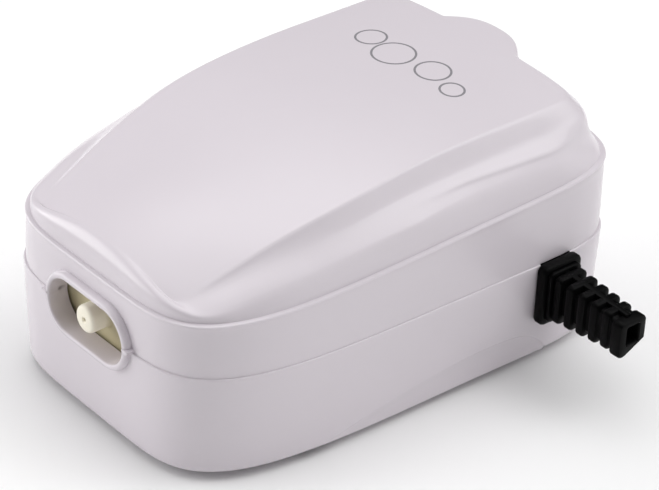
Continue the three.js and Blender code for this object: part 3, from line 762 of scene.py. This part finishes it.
def base_inside():
    """Rings of the tub, from the middle of its floor up to the lip that locates the cover."""
    rim_z = PARTING_Z - PARTING_GAP
    floor = [ring(outline(inset), FLOOR) for inset in (31, 20, 10, WALL + BASE_DRAFT + 1.2)]
    return np.array(floor + [
        ring(outline(WALL + BASE_DRAFT + 0.3), FLOOR + 0.3),
        ring(outline(WALL + BASE_DRAFT), FLOOR + 1.4),
        ring(outline(WALL + 0.15), rim_z + LIP - 0.2),
        ring(outline(WALL), rim_z + LIP),
        ring(outline(1.3), rim_z + LIP),
        ring(outline(1.15), rim_z + LIP - 0.15),
        ring(outline(1.15), rim_z),
    ])


def counterbore(x, y):
    profile = [(0, -1), (2.7, -1), (2.7, 8), (1.4, 8), (1.4, 19), (0, 19)]
    return turned("z", (x, y), profile, 40)


def make_base():
    base = build("base_tub", loft(np.concatenate((base_inside(), base_outside()))))
    posts = [cylinder("z", p, 3.2, 0.5, 18.0) for p in SCREW_PLACES]
    posts += [cylinder("z", p, 3.2, 0.5, 11.9) for p in CORE_SCREWS]
    posts += [cylinder("z", p, 3.0, 0.5, 7.7) for p in CHAMBER_SCREWS]
    posts.append(cylinder("z", BRACKET_SCREW, 2.6, 0.5, 7.7))
    posts.append(cylinder("z", FILTER, FILTER_R + 1.8, 0.5, 5.8, 64))
    rim_z = PARTING_Z - PARTING_GAP
    skin = loft(np.concatenate(([ring(outline(0.9), rim_z)], base_outside()[4:])))
    boolean(base, keep_inside(build("base_posts", *posts), skin), "UNION")
    boolean(base, collar_half("collar_lower", -10, rim_z), "UNION")
    holes = [counterbore(*p) for p in SCREW_PLACES]
    pilots = (*CORE_SCREWS, *CHAMBER_SCREWS, BRACKET_SCREW)
    holes += [cylinder("z", p, 1.4, 3.0, 20, 20) for p in pilots]
    holes += [cylinder("z", p, 5.3, -1, 1.2, 64) for p in FEET]
    seat_r, bore_r = FILTER_R + 0.3, FILTER_R - 1.2
    inlet = [(0, -1), (seat_r, -1), (seat_r, 5), (bore_r, 5), (bore_r, 7), (0, 7)]
    holes.append(turned("z", FILTER, inlet, 64))
    holes.append(port_cutter())
    slot_half = ((SLOT_Y[1] - SLOT_Y[0]) / 2, 8)
    slot_middle = ((SLOT_Y[0] + SLOT_Y[1]) / 2, SLOT_BOTTOM_Z + 8)
    sections = [rounded_section("x", slot_middle, slot_half, 1.5, x) for x in (29, 41)]
    holes.append(loft(sections))
    boolean(base, build("base_holes", *holes), "DIFFERENCE")
    return finish_piece(base, white, "housing_white", "housing", "base_shell", angle=24)


# ---------- nozzle plate ----------

NOZZLE_Z = 21.4
NOZZLE_R = 2.7
NOZZLE_BORE = 0.4
PLATE_FRONT_Y = -46.4
PLATE_BACK_Y = -44.6


def make_nozzle_plate():
    half = (13, 9)
    rings = [rounded_section("y", (0, PORT_Z), half, 2, PLATE_BACK_Y, 0.0)]
    rings.append(rounded_section("y", (0, PORT_Z), half, 2, PLATE_FRONT_Y + 0.4, 0.0))
    rings.append(rounded_section("y", (0, PORT_Z), half, 2, PLATE_FRONT_Y + 0.1, 0.12))
    rings.append(rounded_section("y", (0, PORT_Z), half, 2, PLATE_FRONT_Y, 0.4))
    plate = build("front_plate_and_nozzle", loft(rings))
    root, tip = PLATE_FRONT_Y, COLLAR_FRONT_Y
    r, b = NOZZLE_R, NOZZLE_BORE
    profile = [(0, root + 1), (r + 0.9, root + 1), (r + 0.9, root), (r + 0.45, root - 0.08),
               (r + 0.12, root - 0.4), (r, root - 0.9), (r, tip + 0.9), (r - 0.06, tip + 0.55),
               (r - 0.22, tip + 0.27), (r - 0.48, tip + 0.1), (r - 0.85, tip + 0.02),
               (b + 0.35, tip), (0, tip)]
    nozzle = build("nozzle", turned("y", (0, NOZZLE_Z), profile, 64))
    boolean(plate, nozzle, "UNION")
    bore = [(0, tip - 1), (b + 0.25, tip - 1), (b + 0.25, tip), (b, tip + 0.3), (b, -40), (0, -40)]
    boolean(plate, build("bore", turned("y", (0, NOZZLE_Z), bore, 32)), "DIFFERENCE")
    return finish_piece(plate, cream, "cream_plastic", "housing", "nozzle_plate")


# ---------- strain relief ----------

RELIEF_Y = 30.2
RELIEF_Z = 14.85
RELIEF_WALL_X = 35.45
RELIEF_END_X = 56.0
RIB_PITCH = 3.0
RIB_FIRST_X = 39.6
RIBS = 5


def relief_section(x, half_y, half_z, radius, drop=0.0):
    return rounded_section("x", (RELIEF_Y, RELIEF_Z - drop), (half_y, half_z), radius, x, 0, steps=6)


def relief_block(x0, x1, half_y, half_z, radius=1.0, edge=0.35, drop=0.0):
    """Sections of a block with softened front and back edges."""
    return [
        relief_section(x0, half_y - edge, half_z - edge, radius, drop),
        relief_section(x0 + edge * 0.3, half_y - edge * 0.3, half_z - edge * 0.3, radius, drop),
        relief_section(x0 + edge, half_y, half_z, radius, drop),
        relief_section(x1 - edge, half_y, half_z, radius, drop),
        relief_section(x1 - edge * 0.3, half_y - edge * 0.3, half_z - edge * 0.3, radius, drop),
        relief_section(x1, half_y - edge, half_z - edge, radius, drop),
    ]


def rib_half_height(x):
    share = (x - RIB_FIRST_X) / (RIB_PITCH * (RIBS - 1))
    return 4.9 - 0.9 * min(max(share, 0), 1)


def make_strain_relief():
    core_y, core_z = 2.6, 3.25
    sections = relief_block(29.7, 31.7, 4.8, 5.8)
    sections += [relief_section(x, 3.4, 4.9, 1.2) for x in (31.8, RELIEF_WALL_X - 0.1)]
    sections += relief_block(RELIEF_WALL_X, RELIEF_WALL_X + 2.1, 4.8, 6.3, 1.2, 0.45)
    sections += relief_block(RELIEF_WALL_X + 2.12, RELIEF_WALL_X + 3.0, 3.9, 5.4, 1.1, 0.25)
    for i in range(RIBS):
        x = RIB_FIRST_X + RIB_PITCH * i
        sections.append(relief_section(x - 1.05, core_y, core_z, 0.8))
        half_y = 3.45 - 0.45 * i / (RIBS - 1)
        sections += relief_block(x - 0.9, x + 0.9, half_y, rib_half_height(x), 0.9)
        sections.append(relief_section(x + 1.05, core_y, core_z, 0.8))
    sections += relief_block(RELIEF_END_X - 2.6, RELIEF_END_X, 3.3, 3.75, 1.0, 0.4, drop=0.3)
    end = RELIEF_END_X
    bore = ((end, 0.25), (end - 0.3, 0.08), (end - 0.8, 0.0), (29.7, 0.0))
    sections += [relief_section(x, 1.5 + grow, 1.9 + grow, 0.5, drop=-0.3) for x, grow in bore]
    relief = build("cord_strain_relief", tube(sections))
    spines = []
    for side in (1, -1):
        rings = []
        for x in (RELIEF_WALL_X + 1.5, RIB_FIRST_X, RELIEF_END_X - 1.5):
            top = rib_half_height(x) - (0.05 if side > 0 else 0.6)
            middle = (RELIEF_Y, RELIEF_Z + side * (top + 2.9) / 2)
            rings.append(rounded_section("x", middle, (0.6, (top - 2.9) / 2), 0.25, x, 0, 4))
        spines.append(loft(rings))
    boolean(relief, build("spines", *spines), "UNION")
    corner = ((-2.6, -4.1), (5, -4.5), (5, -0.5))
    wedge = [[(x, RELIEF_Y + y, RELIEF_Z + z) for y, z in corner] for x in (end - 2.7, end + 1)]
    boolean(relief, build("corner_cut", loft(wedge)), "DIFFERENCE")
    return finish_piece(relief, black_rubber, "black_rubber", "housing", "strain_relief", angle=40)


# ---------- fasteners, feet, filter ----------

def screw_profile(tip, seat, head_height, head_r, shaft_r, pitch=1.0):
    """A pan-head screw as a turned profile, its thread cut as a row of fine grooves."""
    profile = [(0, tip), (shaft_r * 0.3, tip + 0.1)]
    z = tip + 1.2
    profile.append((shaft_r * 0.8, z))
    while z < seat - 1.5:
        profile += [(shaft_r, z + pitch * 0.35), (shaft_r * 0.78, z + pitch * 0.9)]
        z += pitch
    profile += [(shaft_r, seat - 0.6), (shaft_r, seat), (head_r - 0.1, seat), (head_r, seat + 0.15)]
    for turn in (0, 25, 50, 75):
        a = math.radians(turn)
        radius = head_r * (0.62 + 0.38 * math.cos(a))
        profile.append((radius, seat + head_height * (0.35 + 0.65 * math.sin(a))))
    profile.append((0, seat + head_height))
    return profile


def make_screw(node, axis, centre, tip, seat, head_height, head_r, shaft_r, body="housing"):
    """The head is at the seat. When the tip lies beyond it along the axis, the screw is
    turned over."""
    over = tip > seat
    low_tip, low_seat = (-tip, -seat) if over else (tip, seat)
    profile = screw_profile(low_tip, low_seat, head_height, head_r, shaft_r)
    cross = (low_seat + head_height * 0.35, low_seat + head_height + 0.2)
    arms = []
    for half in ((head_r * 0.55, 0.22), (0.22, head_r * 0.55)):
        arms.append(loft([rounded_section(axis, (0, 0), half, 0.1, h, 0, 1) for h in cross]))
    screw = build(node + "_fine", turned(axis, (0, 0), profile, 24))
    for arm in arms:
        boolean(screw, build("cross", arm), "DIFFERENCE")
    if over:
        flip = {"x": Matrix.Rotation(math.pi, 4, "Y"), "z": Matrix.Rotation(math.pi, 4, "X")}[axis]
        screw.data.transform(flip)
    place = {"x": (0, centre[0], centre[1]), "z": (centre[0], centre[1], 0)}[axis]
    screw.data.transform(Matrix.Translation(Vector(place) * MM))
    return finish_piece(screw, zinc, "zinc_steel", body, node)


def make_screws():
    for i, place in enumerate(SCREW_PLACES, 1):
        make_screw(f"housing_screw_{i}", "z", place, 28, 7.7, 1.8, 2.4, 1.05)
    for i, place in enumerate(CORE_SCREWS, 1):
        make_screw(f"core_screw_{i}", "z", place, 5, 25.8, 1.8, 2.6, 1.1)
    for i, place in enumerate(CHAMBER_SCREWS, 1):
        make_screw(f"chamber_screw_{i}", "z", place, 4, 10.8, 1.6, 2.4, 1.0)
    make_screw("bracket_screw", "z", BRACKET_SCREW, 4, 10.3, 1.4, 1.7, 1.0)
    clamp_places = [(-25 + 12.2 * a, 19.5 + 9.2 * b) for a in (-1, 1) for b in (-1, 1)]
    for i, place in enumerate(clamp_places, 1):
        make_screw(f"clamp_screw_{i}", "x", place, -3, 10.6, 1.4, 1.8, 0.8)
    make_screw("diaphragm_screw", "x", (-25, 19.5), 21, 10.7, 1.1, 2.0, 1.0, "arm")


def make_feet():
    profile = [(0, -1.25), (1.5, -1.25), (2.0, -1.35), (2.4, -1.6), (4.1, -1.6), (4.5, -1.52),
               (4.82, -1.3), (4.97, -1.0), (5.0, -0.7), (5.0, 0.8), (4.9, 0.9), (0, 0.9)]
    for i, place in enumerate(FEET, 1):
        foot = build(f"rubber_foot_{i}", turned("z", place, profile, 48))
        finish_piece(foot, grey_rubber, "grey_rubber", "housing", f"foot_{i}")


def make_filter():
    r = FILTER_R
    disc_profile = [(0, 0.1), (r - 0.3, 0.1), (r - 0.08, 0.18), (r, 0.4), (r, 1.3),
                    (r - 0.1, 1.4), (0, 1.4)]
    disc = build("intake_grille", turned("z", FILTER, disc_profile, 64))
    slots = []
    for dy in (-3.6, -1.2, 1.2, 3.6):
        reach = math.sqrt((r - 1.8) ** 2 - dy ** 2)
        middle = (FILTER[0], FILTER[1] + dy)
        half = (reach, 0.55)
        slots.append(loft([rounded_section("z", middle, half, 0.55, z, 0, 6) for z in (-1, 3)]))
    boolean(disc, build("grille_slots", *slots), "DIFFERENCE")
    finish_piece(disc, white, "housing_white", "housing", "filter_cover")
    pad_profile = [(0, 1.7), (6.5, 1.7), (6.9, 2.1), (6.9, 4.3), (6.5, 4.7), (0, 4.7)]
    pad = build("felt_pad", turned("z", FILTER, pad_profile, 48))
    finish_piece(pad, felt, "felt", "housing", "intake_felt")


# ---------- air and drive pieces ----------

DIAPHRAGM_Y = -25.0
ENGINE_Z = 19.5
PIVOT = (16.5, -39.0)


def make_diaphragm():
    """A rubber cup: a clamped rim, one rolled fold and a flat middle that the arm carries."""
    fold = [(9.35, 9.0), (9.2, 9.5), (8.85, 10.6), (8.4, 11.7), (7.9, 12.5), (7.3, 13.0),
            (6.6, 13.2)]
    under = [(6.4, 12.4), (7.1, 12.1), (7.6, 11.4), (8.1, 10.2), (8.5, 8.8), (8.8, 7.6),
             (9.1, 6.9)]
    profile = [(1.4, 12.4), (4.0, 12.4), *under, (9.4, 6.6), (10.8, 6.6), (11.0, 6.8), (11.0, 8.0),
               (10.8, 8.2), (9.9, 8.2), (9.5, 8.45), *fold, (4.0, 13.2), (1.4, 13.2), (1.4, 12.4)]
    piece = build("rubber_diaphragm", turned("x", (DIAPHRAGM_Y, ENGINE_Z), profile, 96))
    shade(piece)
    piece.data.materials.append(black_rubber)
    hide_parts("diaphragm")
    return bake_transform(piece)


def ring_profile(inner, outer, low, high, edge=0.15):
    return [(inner, low + edge), (inner + edge, low), (outer - edge, low), (outer, low + edge),
            (outer, high - edge), (outer - edge, high), (inner + edge, high), (inner, high - edge),
            (inner, low + edge)]


def make_turned_pieces():
    centre = (DIAPHRAGM_Y, ENGINE_Z)
    rings = (
        ("diaphragm_plate_inner", "x", centre, 1.35, 4.5, 11.0, 12.1, zinc, "zinc_steel", "arm"),
        ("diaphragm_plate_outer", "x", centre, 1.35, 4.5, 13.5, 14.6, zinc, "zinc_steel", "arm"),
        ("arm_bush", "z", PIVOT, 1.4, 1.9, 11.7, 27.3, brass, "brass", "arm"),
    )
    pads = tuple(
        (f"core_pad_{i}", "z", place, 1.6, 3.2, 12.2, 13.2, grey_rubber, "grey_rubber", "housing")
        for i, place in enumerate(CORE_SCREWS, 1))
    for node, axis, place, inner, outer, low, high, finish, slot, body in rings + pads:
        solid = turned(axis, place, ring_profile(inner, outer, low, high), 48)
        finish_piece(build(node + "_fine", solid), finish, slot, body, node)
    pin_profile = [(0, 8.2), (0.9, 8.2), (1.1, 8.5), (1.1, 31.3), (0.9, 31.6), (0, 31.6)]
    pin = build("pivot_pin_fine", turned("z", PIVOT, pin_profile, 32))
    finish_piece(pin, zinc, "zinc_steel", "housing", "pivot_pin")


def make_winding():
    """The coil's outer layer of wire, turn beside turn."""
    turns = 30
    y0, y1 = 18.1, 32.0
    middle = (6.0, ENGINE_Z)
    bore = (6.1, 7.6)
    rings = [rounded_section("y", middle, bore, 0.6, y0, 0, 8)]
    for i in range(turns * 4 + 1):
        share = i / (turns * 4)
        bulge = 0.18 * abs(math.sin(share * turns * math.pi)) - 0.18
        half = (10.7 + bulge, 12 + bulge)
        rings.append(rounded_section("y", middle, half, 3.5, y0 + (y1 - y0) * share, 0, 8))
    rings.append(rounded_section("y", middle, bore, 0.6, y1, 0, 8))
    coil = build("wire_coil", tube(rings))
    finish_piece(coil, copper, "enamelled_copper", "housing", "coil_winding", angle=70)


def refine(node, finish, slot, body, edge=0.25):
    """A finer copy of a machined or moulded CAD piece, with its edges rounded."""
    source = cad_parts[node]
    piece = bpy.data.objects.new(node + "_fine", source.data.copy())
    bpy.context.scene.collection.objects.link(piece)
    bm = bmesh.new()
    bm.from_mesh(piece.data)
    bmesh.ops.remove_doubles(bm, verts=bm.verts, dist=1e-6)
    bmesh.ops.dissolve_limit(bm, angle_limit=math.radians(1), verts=bm.verts, edges=bm.edges)
    bm.to_mesh(piece.data)
    bm.free()
    soften(piece, edge)
    return finish_piece(piece, finish, slot, body, node)


REFINED = (
    ("valve_chamber", cream, "cream_plastic", "housing", 0.4),
    ("valve_plate", nylon, "natural_nylon", "housing", 0.25),
    ("clamp_ring", nylon, "natural_nylon", "housing", 0.25),
    ("inlet_flap", black_rubber, "black_rubber", "inlet_valve", 0.15),
    ("outlet_flap", black_rubber, "black_rubber", "outlet_valve", 0.15),
    ("inlet_flap_clip", nylon, "natural_nylon", "housing", 0.2),
    ("outlet_flap_clip", nylon, "natural_nylon", "housing", 0.2),
    ("diaphragm_nut", zinc, "zinc_steel", "arm", 0.2),
    ("swing_arm", nylon, "natural_nylon", "arm", 0.4),
    ("arm_bracket", zinc, "zinc_steel", "housing", 0.2),
    ("magnet", ferrite, "ferrite", "arm", 0.4),
    ("e_core", core_steel, "core_steel", "housing", 0.12),
    ("coil_bobbin", nylon, "natural_nylon", "housing", 0.2),
    ("coil_terminal_1", brass, "brass", "housing", 0.12),
    ("coil_terminal_2", brass, "brass", "housing", 0.12),
)


# ---------- studio ----------

# Soft light as wide lobes of a pale sky: (direction, cosines of its faint edge and of its
# bright middle, strength).
SKY_LOBES = (
    ((-0.05, 0.1, 1.0), 0.62, 0.97, 1.6),
    ((-0.35, 0.22, 0.9), 0.94, 0.99, 0.9),
    ((-0.78, -0.62, 0.12), 0.78, 0.98, 4.3),
    ((0.68, 0.6, 0.42), 0.68, 0.97, 1.1),
    ((0.3, 0.56, 0.77), 0.92, 0.99, 1.7),
)
SKY_BASE = 0.03


def add_sky():
    world = bpy.data.worlds.new("studio")
    bpy.context.scene.world = world
    world.use_nodes = True
    nodes = world.node_tree.nodes
    link = world.node_tree.links.new
    background = nodes["Background"]
    place = nodes.new("ShaderNodeTexCoord")
    total = None
    for direction, faint, bright, strength in SKY_LOBES:
        along_lobe = nodes.new("ShaderNodeVectorMath")
        along_lobe.operation = "DOT_PRODUCT"
        along_lobe.inputs[1].default_value = Vector(direction).normalized()
        link(place.outputs["Generated"], along_lobe.inputs[0])
        lobe = nodes.new("ShaderNodeMapRange")
        lobe.interpolation_type = "SMOOTHSTEP"
        lobe.inputs["From Min"].default_value = faint
        lobe.inputs["From Max"].default_value = bright
        lobe.inputs["To Min"].default_value = 0.0
        lobe.inputs["To Max"].default_value = strength
        link(along_lobe.outputs["Value"], lobe.inputs["Value"])
        add = nodes.new("ShaderNodeMath")
        add.operation = "ADD"
        add.inputs[1].default_value = SKY_BASE
        if total is not None:
            link(total, add.inputs[1])
        link(lobe.outputs["Result"], add.inputs[0])
        total = add.outputs[0]
    ray = nodes.new("ShaderNodeLightPath")
    seen = nodes.new("ShaderNodeMix")
    link(ray.outputs["Is Camera Ray"], seen.inputs["Factor"])
    link(total, seen.inputs["A"])
    seen.inputs["B"].default_value = 1.0
    link(seen.outputs["Result"], background.inputs["Strength"])
    background.inputs["Color"].default_value = (1.0, 1.0, 1.0, 1)


def add_floor():
    floor_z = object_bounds()[0][2]
    half = 6.0
    mesh = bpy.data.meshes.new("floor")
    corners = [(x * half, y * half, floor_z) for x, y in ((-1, -1), (1, -1), (1, 1), (-1, 1))]
    mesh.from_pydata(corners, [], [(0, 1, 2, 3)])
    floor = bpy.data.objects.new("floor", mesh)
    bpy.context.scene.collection.objects.link(floor)
    floor.data.materials.append(
        material("floor_paper", (0.94, 0.94, 0.94), 0.9, variation=0.003, mottle=4, bump=0.0))


# ---------- the whole scene ----------

add_camera()
make_cover()
make_base()
make_nozzle_plate()
make_strain_relief()
make_screws()
make_feet()
make_filter()
make_diaphragm()
make_turned_pieces()
make_winding()
for entry in REFINED:
    refine(*entry)
add_sky()
add_floor()
bpy.context.scene.view_settings.view_transform = "Standard"

bpy.context.view_layer.update()
